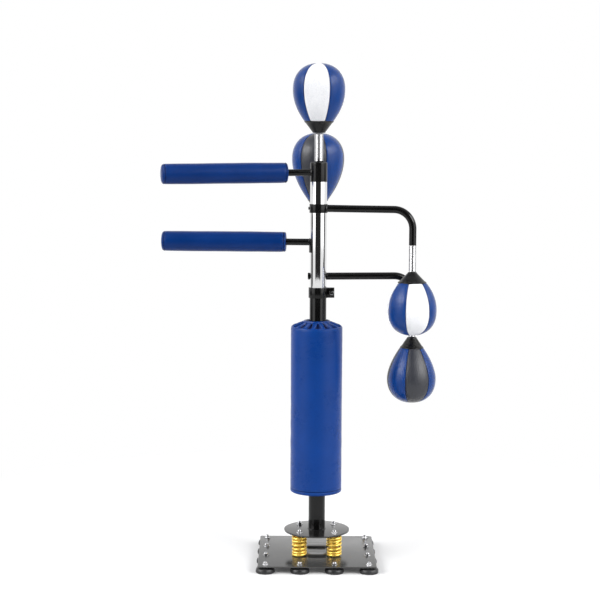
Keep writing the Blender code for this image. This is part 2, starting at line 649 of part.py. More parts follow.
def balls():
    def foot(reach, turn, height):
        angle = math.radians(turn)
        return reach * math.cos(angle), reach * math.sin(angle), height

    strike_ball("top", TOP_BALL, TOP_BALL_TALL, BIG_COIL, TOP_COIL_LENGTH, "head_axis",
                (0, 0, HUB_TOP), False, BLUE_AND_WHITE)
    strike_ball("rear", REAR_BALL, REAR_BALL_TALL, BIG_COIL, REAR_COIL_LENGTH, "head_axis",
                (0, REAR_REACH, REAR_ARM_END), False, BLUE_AND_BLACK)
    strike_ball("upper", UPPER_BALL, UPPER_BALL_TALL, SMALL_COIL, SIDE_COIL_LENGTH, "upper_arm_axis",
                foot(UPPER_ARM_REACH, UPPER_ARM_TURN, UPPER_ARM_END), True, BLUE_AND_WHITE)
    strike_ball("lower", LOWER_BALL, LOWER_BALL_TALL, SMALL_COIL, SIDE_COIL_LENGTH, "head_axis",
                foot(LOWER_ARM_REACH, LOWER_ARM_TURN, LOWER_ARM_END), True, BLUE_AND_BLACK)


base_plate()
cups_and_nuts()
spring_seats()
base_springs()
top_disc()
pole_and_bag()
pole_clamp()
sleeve_and_hub()
padded_bar("upper_bar", UPPER_BAR_Z, UPPER_BAR_TURN, UPPER_BAR_DROOP, HUB_RADIUS - ROD_SOCKET)
SADDLE_CUT = saddle()
padded_bar("lower_bar", LOWER_BAR_Z, LOWER_BAR_TURN, 0, POLE_RADIUS, SADDLE_CUT)
arms(SADDLE_CUT)
upper_arm()
balls()
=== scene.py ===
import math

import bmesh
import bpy
from mathutils import Matrix, Vector, noise


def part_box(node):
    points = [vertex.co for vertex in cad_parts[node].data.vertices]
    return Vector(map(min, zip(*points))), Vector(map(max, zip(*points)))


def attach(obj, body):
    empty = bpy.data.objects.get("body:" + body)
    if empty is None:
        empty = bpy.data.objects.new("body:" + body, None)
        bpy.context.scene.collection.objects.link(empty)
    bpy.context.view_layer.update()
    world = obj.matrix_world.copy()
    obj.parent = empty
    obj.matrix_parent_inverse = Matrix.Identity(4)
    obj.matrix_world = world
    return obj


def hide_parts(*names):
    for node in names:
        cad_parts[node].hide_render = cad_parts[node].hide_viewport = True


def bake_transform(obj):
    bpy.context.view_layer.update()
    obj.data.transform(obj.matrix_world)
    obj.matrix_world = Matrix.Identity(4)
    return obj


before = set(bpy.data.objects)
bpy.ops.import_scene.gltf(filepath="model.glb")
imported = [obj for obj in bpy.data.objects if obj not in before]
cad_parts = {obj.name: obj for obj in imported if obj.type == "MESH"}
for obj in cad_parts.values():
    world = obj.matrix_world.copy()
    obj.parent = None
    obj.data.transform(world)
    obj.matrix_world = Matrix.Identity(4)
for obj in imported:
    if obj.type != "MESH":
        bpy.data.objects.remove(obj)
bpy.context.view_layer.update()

STUDIO = bpy.context.scene.collection
MIDDLE = sum(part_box("lower_pole"), Vector()) / 2
AXIS = Vector((MIDDLE.x, MIDDLE.y, 0))      # the pole's axis at the floor

# Sizes in metres, measured out from the pole's axis or up from the floor.
BASE_SPRING_OUT = 0.070         # each base spring, along X and along Y
UPPER_ARM_Z, LOWER_ARM_Z, REAR_ARM_Z = 1.4232, 1.1525, 1.2705
SLEEVE_SIDE, BRACKET_SIDE, BAND_SIDE = 0.0335, 0.0373, 0.0362   # what the tubes are welded to
ARM_RADIUS, BAR_ROD_RADIUS = 0.0145, 0.0135
PAD_START, PAD_END, PAD_RADIUS = 0.128, 0.627, 0.0405
UPPER_BAR_DROOP = 0.6           # degrees below level
PLEATS, FRONT_PLEAT = 16, -86.5     # of the bag's top, and where one of them lies


# ---- camera ----
def set_camera():
    camera = bpy.data.objects.new("camera", bpy.data.cameras.new("camera"))
    STUDIO.objects.link(camera)
    camera.data.lens = 90.54
    camera.data.sensor_width = 36
    camera.location = (AXIS.x - 0.0748, AXIS.y - 6.0, 1.6925)
    camera.rotation_euler = [math.radians(angle) for angle in (83.95, -0.26, 0)]
    bpy.context.scene.camera = camera


# ---- node graphs ----
class Graph:
    """Adds shader nodes to a tree and joins them up."""

    def __init__(self, tree):
        self.tree = tree

    def add(self, kind, values=None, **settings):
        node = self.tree.nodes.new("ShaderNode" + kind)
        for key, value in settings.items():
            setattr(node, key, value)
        self.feed(node, values or {})
        return node

    def feed(self, node, values):
        for key, value in values.items():
            if isinstance(value, bpy.types.NodeSocket):
                self.tree.links.new(value, node.inputs[key])
            else:
                node.inputs[key].default_value = value

    def calc(self, operation, *values):
        node = self.add("Math", dict(enumerate(values)), operation=operation)
        return node.outputs[0]

    def ramp(self, value, low, high, bottom=0.0, top=1.0):
        """A smooth step of value from low to high."""
        node = self.add("MapRange", {"Value": value, "From Min": low, "From Max": high,
                                     "To Min": bottom, "To Max": top},
                        interpolation_type="SMOOTHSTEP")
        return node.outputs["Result"]

    def window(self, value, low, high, edge):
        """1 between low and high, fading to 0 outside them."""
        rise = self.ramp(value, low - edge, low)
        return self.calc("SUBTRACT", rise, self.ramp(value, high, high + edge))

    def tint(self, factor, first, second):
        node = self.add("Mix", {0: factor, 6: first, 7: second}, data_type="RGBA")
        return node.outputs[2]

    def shared(self, group, values):
        node = self.add("Group", node_tree=group)
        self.feed(node, values)
        return node.outputs


def effect(name, inputs, outputs):
    """An empty node group: its graph, what comes in, and where the results go."""
    tree = bpy.data.node_groups.new(name, "ShaderNodeTree")
    for label, kind in inputs.items():
        tree.interface.new_socket(label, in_out="INPUT", socket_type="NodeSocket" + kind)
    for label, kind in outputs.items():
        tree.interface.new_socket(label, in_out="OUTPUT", socket_type="NodeSocket" + kind)
    source = tree.nodes.new("NodeGroupInput").outputs
    sink = tree.nodes.new("NodeGroupOutput")
    return tree, Graph(tree), source, sink


def handled_finish():
    """Slow blotches and fine peel: how a coated or plated surface varies."""
    tree, g, source, sink = effect("handled_finish", {
        "Vector": "Vector", "Broad": "Float", "Fine": "Float", "Roughness": "Float",
        "Spread": "Float"}, {"Roughness": "Float", "Shade": "Float", "Height": "Float"})
    broad = g.add("TexNoise", {"Vector": source["Vector"], "Scale": source["Broad"],
                               "Detail": 4.0, "Roughness": 0.6}).outputs["Fac"]
    fine = g.add("TexNoise", {"Vector": source["Vector"], "Scale": source["Fine"],
                              "Detail": 2.0}).outputs["Fac"]
    shade = g.ramp(broad, 0.30, 0.70)
    offset = g.calc("MULTIPLY", g.calc("SUBTRACT", shade, 0.5), source["Spread"])
    grit = g.calc("MULTIPLY", g.calc("SUBTRACT", fine, 0.5), source["Spread"])
    rough = g.calc("ADD", source["Roughness"], g.calc("ADD", offset, grit))
    g.feed(sink, {"Roughness": rough, "Shade": shade, "Height": fine})
    return tree


def leather_grain():
    """Pebbled cells with creases between them, on soft shallow waves."""
    tree, g, source, sink = effect("leather_grain", {"Vector": "Vector", "Cells": "Float"},
                                   {"Height": "Float", "Crease": "Float"})
    warp = g.add("TexNoise", {"Vector": source["Vector"], "Scale": 60.0, "Detail": 2.0})
    bent = g.add("VectorMath", {0: warp.outputs["Color"], 1: (0.0016, 0.0016, 0.0016)},
                 operation="MULTIPLY")
    spot = g.add("VectorMath", {0: source["Vector"], 1: bent.outputs[0]}, operation="ADD")
    cells = g.add("TexVoronoi", {"Vector": spot.outputs[0], "Scale": source["Cells"],
                                 "Smoothness": 0.35}, feature="SMOOTH_F1").outputs["Distance"]
    crease = g.ramp(cells, 0.45, 0.80)
    waves = g.add("TexNoise", {"Vector": source["Vector"], "Scale": 24.0,
                               "Detail": 3.0}).outputs["Fac"]
    height = g.calc("SUBTRACT", g.calc("MULTIPLY", waves, 1.6), crease)
    g.feed(sink, {"Height": height, "Crease": crease})
    return tree


def sewn_seam():
    """A groove and a row of stitches on its side, from the UV map named seam: how far
    the point is from the seam, and how far along it, in metres."""
    tree, g, source, sink = effect("sewn_seam", {"Row": "Float"},
                                   {"Groove": "Float", "Thread": "Float", "Height": "Float"})
    where = g.add("SeparateXYZ", {"Vector": g.add("UVMap", uv_map="seam").outputs[0]}).outputs
    across, along = where["X"], where["Y"]
    groove = g.ramp(across, 0.0020, 0.0004)
    side = g.calc("ABSOLUTE", g.calc("SUBTRACT", across, source["Row"]))
    beat = g.calc("FRACT", g.calc("DIVIDE", along, 0.0052))
    dash = g.window(beat, 0.18, 0.82, 0.10)
    thread = g.calc("MULTIPLY", g.ramp(side, 0.0007, 0.0003), dash)
    dent = g.calc("MULTIPLY", g.ramp(side, 0.0013, 0.0005), 0.4)
    sunk = g.calc("ADD", groove, g.calc("MULTIPLY", dent, g.calc("SUBTRACT", 1.0, thread)))
    height = g.calc("SUBTRACT", g.calc("MULTIPLY", thread, 0.35), sunk)
    g.feed(sink, {"Groove": groove, "Thread": thread, "Height": height})
    return tree


def brushed_lines():
    """Fine straight streaks along X."""
    tree, g, source, sink = effect("brushed_lines", {"Vector": "Vector"}, {"Streak": "Float"})
    long_ways = g.add("Mapping", {"Vector": source["Vector"], "Scale": (1.4, 210.0, 20.0)})
    lines = g.add("TexNoise", {"Vector": long_ways.outputs[0], "Scale": 1.0, "Detail": 5.0,
                               "Roughness": 0.7}).outputs["Fac"]
    g.feed(sink, {"Streak": g.ramp(lines, 0.32, 0.68)})
    return tree


FINISH = handled_finish()
GRAIN = leather_grain()
SEAM = sewn_seam()
STREAKS = brushed_lines()


def blank(name):
    """A new material: its graph, its shader, and the place on the piece."""
    coat = bpy.data.materials.new(name)
    coat.use_nodes = True
    g = Graph(coat.node_tree)
    shader = coat.node_tree.nodes["Principled BSDF"]
    place = g.add("TexCoord").outputs["Object"]
    return coat, g, shader, place


def shade_of(colour, factor):
    return (*(channel * factor for channel in colour), 1.0)


def enamel(name, colour, roughness, shine, streaked=False):
    """Black powder coat or gloss enamel, with peel and soft rubbed patches."""
    coat, g, shader, place = blank(name)
    finish = g.shared(FINISH, {"Vector": place, "Broad": 11.0, "Fine": 650.0,
                               "Roughness": roughness, "Spread": 0.07})
    rough, shade = finish["Roughness"], finish["Shade"]
    if streaked:
        streak = g.shared(STREAKS, {"Vector": place})["Streak"]
        rough = g.calc("ADD", rough, g.calc("MULTIPLY", streak, 0.07))
        shade = g.calc("MULTIPLY", g.calc("ADD", shade, streak), 0.5)
    bump = g.add("Bump", {"Height": finish["Height"], "Strength": 0.35, "Distance": 0.0001})
    g.feed(shader, {
        "Base Color": g.tint(shade, shade_of(colour, 0.75), shade_of(colour, 1.45)),
        "Roughness": rough, "Specular IOR Level": shine, "Normal": bump.outputs[0]})
    return coat


def plated(name, colour, roughness, spread, scuff, metal=1.0):
    """Polished metal, with faint haze and hairline scuffs."""
    coat, g, shader, place = blank(name)
    finish = g.shared(FINISH, {"Vector": place, "Broad": 26.0, "Fine": 420.0,
                               "Roughness": roughness, "Spread": spread})
    hair = g.add("TexNoise", {"Vector": place, "Scale": 260.0, "Detail": 3.0,
                              "Distortion": 2.5}).outputs["Fac"]
    marks = g.calc("MULTIPLY", g.ramp(hair, 0.62, 0.70), scuff)
    bump = g.add("Bump", {"Height": finish["Height"], "Strength": 0.2, "Distance": 0.00005})
    g.feed(shader, {
        "Base Color": g.tint(finish["Shade"], shade_of(colour, 0.93), shade_of(colour, 1.0)),
        "Roughness": g.calc("ADD", finish["Roughness"], marks), "Metallic": metal,
        "Normal": bump.outputs[0]})
    return coat


def leather(name, colour, dark, roughness, thread, shine):
    """Grained vinyl or leather, with painted shade in its creases and pleat folds, sunk seams
    darkened with painted shade, and sewn thread.
    """
    coat, g, shader, place = blank(name)
    grain = g.shared(GRAIN, {"Vector": place, "Cells": 850.0})
    seam = g.shared(SEAM, {"Row": 0.0042})
    finish = g.shared(FINISH, {"Vector": place, "Broad": 7.0, "Fine": 300.0,
                               "Roughness": roughness, "Spread": 0.10})
    pleat_shade = g.add("Attribute", attribute_name="pleat_shade").outputs["Fac"]
    body = g.tint(finish["Shade"], shade_of(colour, 0.92), shade_of(colour, 1.06))
    # painted shade: the grain's creases are tinted towards the shade colour
    body = g.tint(g.calc("MULTIPLY", grain["Crease"], 0.35), body, (*dark, 1.0))
    # painted shade: the sunk seams and the bag's pleat dips are tinted towards the shade colour
    body = g.tint(g.calc("MAXIMUM", g.calc("MULTIPLY", seam["Groove"], 0.85), pleat_shade), body,
                  (*dark, 1.0))
    body = g.tint(seam["Thread"], body, (*thread, 1.0))
    surface = g.add("Bump", {"Height": grain["Height"], "Strength": 0.30, "Distance": 0.0004})
    sewn = g.add("Bump", {"Height": seam["Height"], "Strength": 0.8, "Distance": 0.0012,
                          "Normal": surface.outputs[0]})
    g.feed(shader, {
        "Base Color": body,
        "Roughness": g.calc("ADD", finish["Roughness"], g.calc("MULTIPLY", seam["Groove"], 0.2)),
        "Specular IOR Level": shine, "Normal": sewn.outputs[0]})
    return coat


def rubber(name, colour, roughness, shine):
    """Moulded rubber, matt in some places and rubbed shinier in others."""
    coat, g, shader, place = blank(name)
    finish = g.shared(FINISH, {"Vector": place, "Broad": 34.0, "Fine": 900.0,
                               "Roughness": roughness, "Spread": 0.14})
    bump = g.add("Bump", {"Height": finish["Height"], "Strength": 0.4, "Distance": 0.0002})
    g.feed(shader, {
        "Base Color": g.tint(finish["Shade"], shade_of(colour, 0.7), shade_of(colour, 1.5)),
        "Roughness": finish["Roughness"], "Specular IOR Level": shine,
        "Normal": bump.outputs[0]})
    return coat


BLACK_ENAMEL = enamel("black_enamel", (0.0035, 0.0035, 0.0035), 0.15, 0.28)
PLATE_ENAMEL = enamel("plate_enamel", (0.034, 0.034, 0.0335), 0.15, 0.61, streaked=True)
DISC_ENAMEL = enamel("disc_enamel", (0.008, 0.008, 0.008), 0.07, 0.75, streaked=True)
CHROME = plated("chrome", (0.80, 0.802, 0.805), 0.06, 0.03, 0.05)
COIL_CHROME = plated("coil_chrome", (0.54, 0.54, 0.55), 0.22, 0.06, 0.10)
ZINC = plated("zinc_steel", (0.54, 0.54, 0.55), 0.12, 0.06, 0.10)
DARK_STEEL = plated("dark_steel", (0.10, 0.10, 0.10), 0.25, 0.06, 0.10)
GOLD = plated("gold_lacquer", (1.0, 0.70, 0.13), 0.26, 0.08, 0.08, metal=0.55)
# The second colour given to each leather below is the painted shade for its creases, sunk seams
# and pleat dips.
PAINTED_SHADE_NAVY = (0.001, 0.006, 0.050)
BLUE_VINYL = leather("blue_vinyl", (0.0004, 0.038, 0.215), PAINTED_SHADE_NAVY, 0.30,
                     thread=(0.002, 0.065, 0.30), shine=0.20)
# painted shade: the pads' vinyl is a darker copy of the bag's blue vinyl, darkened against the
# extra light the pads get from above
SHADED_PAD_VINYL = leather("shaded_pad_vinyl", (0.0004, 0.026, 0.150), PAINTED_SHADE_NAVY, 0.34,
                    thread=(0.002, 0.045, 0.21), shine=0.15)
BLUE_LEATHER = leather("blue_leather", (0.0006, 0.038, 0.200), PAINTED_SHADE_NAVY, 0.20,
                       thread=(0.004, 0.055, 0.26), shine=0.28)
WHITE_LEATHER = leather("white_leather", (0.86, 0.865, 0.88), (0.16, 0.19, 0.32), 0.34,
                        thread=(0.82, 0.82, 0.84), shine=0.14)
BLACK_LEATHER = leather("black_leather", (0.030, 0.032, 0.040), (0.004, 0.004, 0.008), 0.32,
                        thread=(0.020, 0.022, 0.03), shine=0.5)
NECK_RUBBER = rubber("neck_rubber", (0.004, 0.004, 0.004), 0.30, 0.28)
CUP_RUBBER = rubber("cup_rubber", (0.012, 0.012, 0.013), 0.42, 0.5)


# ---- shapes ----
def tidy(shape):
    """Merge doubled corners and point the faces outwards."""
    bmesh.ops.remove_doubles(shape, verts=shape.verts, dist=0.000005)
    bmesh.ops.recalc_face_normals(shape, faces=shape.faces)
    return shape


def rounded(profile, cuts):
    """Corners given as (radius, height, edge) are rounded over that length of each side."""
    line = []
    for i, (radius, height, *edge) in enumerate(profile):
        here = Vector((radius, height))
        if not edge:
            line.append(here)
            continue
        back = (Vector(profile[i - 1][:2]) - here).normalized() * edge[0]
        ahead = (Vector(profile[(i + 1) % len(profile)][:2]) - here).normalized() * edge[0]
        line += [here + back * (1 - k / cuts) ** 2 + ahead * (k / cuts) ** 2
                 for k in range(cuts + 1)]
    return line


def turned(profile, steps=64, closed=False, cuts=4, angles=None):
    """Turn a (radius, height) profile about +Z; angles gives uneven steps in degrees."""
    shape = bmesh.new()
    line = [shape.verts.new((point.x, 0, point.y)) for point in rounded(profile, cuts)]
    ahead = line[1:] + line[:1] if closed else line[1:]
    swept = line + [shape.edges.new(pair) for pair in zip(line, ahead)]
    if angles is None:
        bmesh.ops.spin(shape, geom=swept, cent=(0, 0, 0), axis=(0, 0, 1), angle=math.tau,
                       steps=steps, use_merge=True)
    else:
        for angle in angles:
            swept = bmesh.ops.spin(shape, geom=swept, cent=(0, 0, 0), axis=(0, 0, 1),
                                   angle=math.radians(angle), steps=1)["geom_last"]
    return tidy(shape)


def joined(*shapes):
    """One bmesh from several."""
    whole = bmesh.new()
    for shape in shapes:
        loose = bpy.data.meshes.new("loose")
        shape.to_mesh(loose)
        shape.free()
        whole.from_mesh(loose)
        bpy.data.meshes.remove(loose)
    return whole


def placed(shape, at=(0, 0, 0), turn=0.0, lean=None):
    """Lean about an axis, turn about +Z, then move from the pole's axis at the floor."""
    move = Matrix.Translation(AXIS + Vector(at)) @ Matrix.Rotation(math.radians(turn), 4, "Z")
    if lean:
        move @= Matrix.Rotation(math.radians(lean[0]), 4, lean[1])
    bmesh.ops.transform(shape, matrix=move, verts=shape.verts)
    return shape


def block(low, high, edge):
    """A box between two corners, with all its edges eased."""
    shape = bmesh.new()
    size = Vector(high) - Vector(low)
    bmesh.ops.create_cube(shape, size=1.0)
    bmesh.ops.scale(shape, vec=size, verts=shape.verts)
    bmesh.ops.translate(shape, vec=(Vector(high) + Vector(low)) / 2, verts=shape.verts)
    ease(shape, shape.edges[:], edge)
    return shape


def ease(shape, edges, offset, segments=2):
    bmesh.ops.bevel(shape, geom=edges, offset=offset, offset_type="OFFSET", affect="EDGES",
                    segments=segments, profile=0.5, material=-1, clamp_overlap=True)


def drawn(shape, rim, offset):
    """Extend an open rim by offset; returns the new rim."""
    made = bmesh.ops.extrude_edge_only(shape, edges=rim)["geom"]
    fresh = {item for item in made if isinstance(item, bmesh.types.BMVert)}
    bmesh.ops.translate(shape, vec=offset, verts=list(fresh))
    return [item for item in made if isinstance(item, bmesh.types.BMEdge)
            and item.verts[0] in fresh and item.verts[1] in fresh]


def capped(shape):
    """Close the open rims."""
    rims = [item for item in shape.edges if len(item.link_faces) == 1]
    bmesh.ops.holes_fill(shape, edges=rims, sides=0)
    return tidy(shape)


def part_ring(inner, outer, low, high, start, sweep, steps, edge):
    """A flat ring that goes only part of the way round, from start by sweep degrees."""
    ring = bmesh.new()
    corners = [ring.verts.new((radius, 0, z)) for radius, z in
               ((inner, low), (outer, low), (outer, high), (inner, high))]
    swept = corners + [ring.edges.new(pair) for pair in zip(corners, corners[1:] + corners[:1])]
    bmesh.ops.spin(ring, geom=swept, cent=(0, 0, 0), axis=(0, 0, 1),
                   angle=math.radians(sweep), steps=steps)
    bmesh.ops.rotate(ring, cent=(0, 0, 0), matrix=Matrix.Rotation(math.radians(start), 3, "Z"),
                     verts=ring.verts)
    capped(ring)
    ease(ring, [item for item in ring.edges if item.is_manifold
                and abs(item.calc_face_angle(0)) > 1.2], edge)
    return ring


def hexed(shape, flat, low, high):
    """Cut a turned nut to a hexagon between two heights."""
    for vert in shape.verts:
        radius = math.hypot(vert.co.x, vert.co.y)
        if low < vert.co.z < high and radius > flat:
            turn = math.atan2(vert.co.y, vert.co.x) % (math.pi / 3) - math.pi / 6
            share = min(1.0, flat / math.cos(turn) / radius)
            vert.co.x *= share
            vert.co.y *= share
    return shape


def hex_head(bottom, flat, washer, height, dome=None):
    """A washer, a chamfered hexagon, and a dome if dome is its radius."""
    corner = flat / math.cos(math.pi / 6)
    ledge = bottom + 0.0016
    top = bottom + height
    hexagon = bottom + height * (0.55 if dome else 1.0)
    profile = [(0, bottom), (washer, bottom, 0.0003), (washer, ledge, 0.0004),
               (corner + 0.0001, ledge), (corner + 0.0001, ledge + 0.0004)]
    rise = hexagon - ledge - 0.0016
    profile += [(corner + 0.0001, ledge + 0.0004 + rise * k / 3) for k in (1, 2, 3)]
    profile += [(corner - (corner - flat + 0.0006) * k / 3, hexagon - 0.0012 + 0.0012 * k / 3)
                for k in (1, 2, 3)]
    if dome:
        tall = top - hexagon
        profile += [(dome, hexagon, 0.0003)]
        profile += [(dome * math.cos(angle), hexagon + tall * (0.25 + 0.75 * math.sin(angle)))
                    for angle in (math.pi / 2 * k / 7 for k in range(7))]
        profile += [(0, top)]
    else:
        profile += [(flat * 0.62, hexagon), (flat * 0.5, hexagon - 0.0018), (0, hexagon - 0.0018)]
    return hexed(turned(profile, steps=48, cuts=3), flat, ledge + 0.0001, hexagon + 0.0001)


def acorn(bottom):
    return hex_head(bottom, 0.0090, 0.0125, 0.0130, 0.0080)


def weld_bead(radius, size, seed, wrap=None):
    """A rippled fillet round a tube that stands along +Z. With wrap, the bead dips to
    follow a round post of that radius, which runs along +X through z = -wrap."""
    bead = turned([(radius - 0.0006, size, 0.0), (radius + size * 0.55, size * 0.42, size * 0.3),
                   (radius + size, -0.0006)], steps=96, cuts=4)
    for vert in bead.verts:
        x, y, z = vert.co
        angle = math.atan2(y, x)
        out = math.hypot(x, y) - radius
        ripple = 1 + 0.10 * math.sin(angle * 26) + 0.12 * noise.noise((x * 160, y * 160, seed))
        grown = radius + max(out, -0.0006) * ripple
        vert.co = (grown * math.cos(angle), grown * math.sin(angle), max(z, -0.0006) * ripple)
        if wrap:
            vert.co.z -= wrap - math.sqrt(max(wrap * wrap - vert.co.y ** 2, 0.0))
    return bead


def bent_tube(radius, start, reach, bend, rise, cut=None):
    """A tube out along +X and round a quarter bend, up or down by rise in all. The first
    rim is notched to fit a post of radius cut that stands on the axis."""
    shape = bmesh.new()
    way = 1 if rise > 0 else -1
    side_on = Matrix.Translation((start, 0, 0)) @ Matrix.Rotation(math.pi / 2, 4, "Y")
    bmesh.ops.create_circle(shape, segments=32, radius=radius, matrix=side_on)
    first = shape.verts[:]
    rim = drawn(shape, shape.edges[:], (0.02, 0, 0))
    rim = drawn(shape, rim, (reach - bend - start - 0.02, 0, 0))
    corners = list({vert for item in rim for vert in item.verts})
    made = bmesh.ops.spin(shape, geom=corners + rim, cent=(reach - bend, 0, bend * way),
                          axis=(0, -way, 0), angle=math.pi / 2, steps=18)["geom_last"]
    rim = [item for item in made if isinstance(item, bmesh.types.BMEdge)]
    drawn(shape, rim, (0, 0, rise - bend * way))
    if cut:
        for vert in first:
            vert.co.x = math.sqrt(cut * cut - vert.co.y ** 2)
    return capped(shape)


def straight_tube(radius, wall, low, high, edge=0.0006, steps=96):
    return turned([(radius - wall, low, edge), (radius, low, edge), (radius, high, edge),
                   (radius - wall, high, edge)], steps=steps, closed=True, cuts=3)


def coil(radius, wire, heights, per_quarter, section):
    """Round wire wound up through the given heights, one for each quarter turn."""
    shape = bmesh.new()
    side_on = Matrix.Translation((radius, 0, heights[0])) @ Matrix.Rotation(math.pi / 2, 4, "X")
    bmesh.ops.create_circle(shape, segments=section, radius=wire / 2, matrix=side_on)
    swept = shape.verts[:] + shape.edges[:]
    for low, high in zip(heights, heights[1:]):
        swept = bmesh.ops.spin(shape, geom=swept, cent=(0, 0, 0), axis=(0, 0, 1),
                               dvec=(0, 0, (high - low) / per_quarter), angle=math.pi / 2,
                               steps=per_quarter)["geom_last"]
    return capped(shape)


# ---- pieces ----
def mark_seams(shape, seam_at):
    """Fill the UV map named seam: how far off the nearest seam, and how far along it."""
    layer = shape.loops.layers.uv.new("seam")
    for face in shape.faces:
        for loop in face.loops:
            loop[layer].uv = seam_at(loop.vert.co)


def piece(name, shape, coats, slot, body=None, stands_for=(), sharp=38):
    """Make an object from a shape, and say what it moves with and what it stands for."""
    mesh = bpy.data.meshes.new(name)
    for face in shape.faces:
        face.smooth = True
    shape.to_mesh(mesh)
    shape.free()
    mesh.set_sharp_from_angle(angle=math.radians(sharp))
    for coat in coats if isinstance(coats, (list, tuple)) else [coats]:
        mesh.materials.append(coat)
    item = bpy.data.objects.new(name, mesh)
    STUDIO.objects.link(item)
    if body:
        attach(item, body)
    if stands_for:
        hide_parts(*([stands_for] if isinstance(stands_for, str) else stands_for))
    return item


def centre_of(node):
    """Middle of a CAD node, measured from the pole's axis at the floor."""
    low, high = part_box(node)
    return (low + high) / 2 - AXIS


def half_width(node):
    low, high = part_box(node)
    return (high.x - low.x) / 2


def span_of(node):
    """The heights of a CAD node's bottom and top."""
    low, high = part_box(node)
    return low.z, high.z


def bending_spring(node, at, radius, wire, heights, cuts, coat, slot, bodies, turn=0.0):
    """A coil in two halves, made as a lower and an upper piece. The heights are the wire's at each
    quarter turn."""
    half = len(heights) // 2
    below, between, above = bodies
    for part, first, last, start, end in (("lower", 0, half, below, between),
                                          ("upper", half, 2 * half, between, above)):
        wound = coil(radius, wire, heights[first:last + 1], *cuts)
        item = piece(f"{node}_{part}", placed(wound, at, turn), coat, slot,
                     stands_for=node if part == "lower" else ())
        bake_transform(item)


# ---- base ----
def base_plate():
    low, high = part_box("base_plate")
    shape = bmesh.new()
    bmesh.ops.create_cube(shape, size=1.0)
    bmesh.ops.scale(shape, vec=high - low, verts=shape.verts)
    uprights = [edge for edge in shape.edges
                if abs(edge.verts[0].co.z - edge.verts[1].co.z) > 0.001]
    ease(shape, uprights, 0.010, 8)
    rims = [edge for edge in shape.edges if abs(edge.verts[0].co.z - edge.verts[1].co.z) < 1e-6
            and len({face.normal.z > 0.5 or face.normal.z < -0.5 for face in edge.link_faces}) > 1]
    ease(shape, rims, 0.0008, 3)
    bmesh.ops.translate(shape, vec=(low + high) / 2, verts=shape.verts)
    piece("plate", shape, PLATE_ENAMEL, "black_paint", "base", "base_plate")


def suction_cups():
    for number in range(1, 13):
        node = f"suction_cup_{number:02d}"
        middle = centre_of(node)
        radius = half_width(node)
        top = span_of("base_plate")[0] - 0.0002
        cup = turned([(0, top), (0.0125, top, 0.0008), (0.0132, top - 0.0032, 0.001),
                      (0.0185, top - 0.0040, 0.002), (radius - 0.0045, top - 0.0056, 0.005),
                      (radius, 0.0120, 0.0050), (radius, 0.0020, 0.0016), (radius - 0.0022, 0),
                      (radius - 0.0050, 0, 0.0008), (radius - 0.0085, 0.0022), (0.012, 0.0050),
                      (0, 0.0055)], steps=56, cuts=5)
        piece(f"cup_{number:02d}", placed(cup, (middle.x, middle.y, 0)), CUP_RUBBER,
              "black_rubber", "base", node)


def acorn_nuts():
    for number in range(1, 13):
        node = f"cup_nut_{number:02d}"
        middle = centre_of(node)
        bottom = span_of(node)[0]
        turn = (number * 37) % 60
        piece(f"acorn_nut_{number:02d}", placed(acorn(bottom), (middle.x, middle.y, 0), turn),
              ZINC, "bright_steel", "base", node)


def spring_seats():
    """A flat strap under each row, which steps up over the springs' lowest wire."""
    for row in ("front", "rear"):
        node = f"spring_seat_{row}"
        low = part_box(node)[0]
        middle = centre_of(node)
        stations = ((-0.0860, 0.0125), (-0.0700, 0.0160), (-0.0540, 0.0125), (-0.0490, 0.0125),
                    (-0.0430, 0.0145), (-0.0360, 0.0200), (-0.0200, 0.0220))
        stations += tuple((-x, half) for x, half in reversed(stations))
        shape = bmesh.new()
        line = [shape.verts.new((x, half, 0)) for x, half in stations]
        line += [shape.verts.new((x, -half, 0)) for x, half in reversed(stations)]
        shape.faces.new(line)
        made = bmesh.ops.extrude_face_region(shape, geom=shape.faces[:])["geom"]
        bmesh.ops.translate(shape, vec=(0, 0, 0.0030),
                            verts=[item for item in made if isinstance(item, bmesh.types.BMVert)])
        tidy(shape)
        rims = [edge for edge in shape.edges
                if abs(edge.verts[0].co.z - edge.verts[1].co.z) < 1e-6]
        ease(shape, rims, 0.0005, 2)
        bar = block((-0.0365, -0.0215, 0.0020), (0.0365, 0.0215, 0.0062), 0.0006)
        piece(f"spring_strap_{row}", placed(joined(shape, bar), (middle.x, middle.y, low.z)),
              PLATE_ENAMEL, "black_paint", "base", node)


def base_springs():
    foot, top = span_of("base_plate")[1] + 0.0003, span_of("base_spring_front_left")[1]
    wire, radius, turns = 0.010, 0.0255, 6
    rise = top - foot - wire
    shares = [k / (4 * turns) for k in range(4 * turns + 1)]
    # The turns lie closer together at both ends.
    heights = [foot + wire / 2 + rise * (share - 0.045 * math.sin(math.tau * share))
               for share in shares]
    for row in ("front", "rear"):
        for side in ("left", "right"):
            node = f"base_spring_{row}_{side}"
            middle = centre_of(node)
            at = (math.copysign(BASE_SPRING_OUT, middle.x),
                  math.copysign(BASE_SPRING_OUT, middle.y), 0)
            bending_spring(node, at, radius, wire, heights, (7, 14), GOLD, "gold_paint",
                           ("base", "spring_stage", "post"), turn=-180)


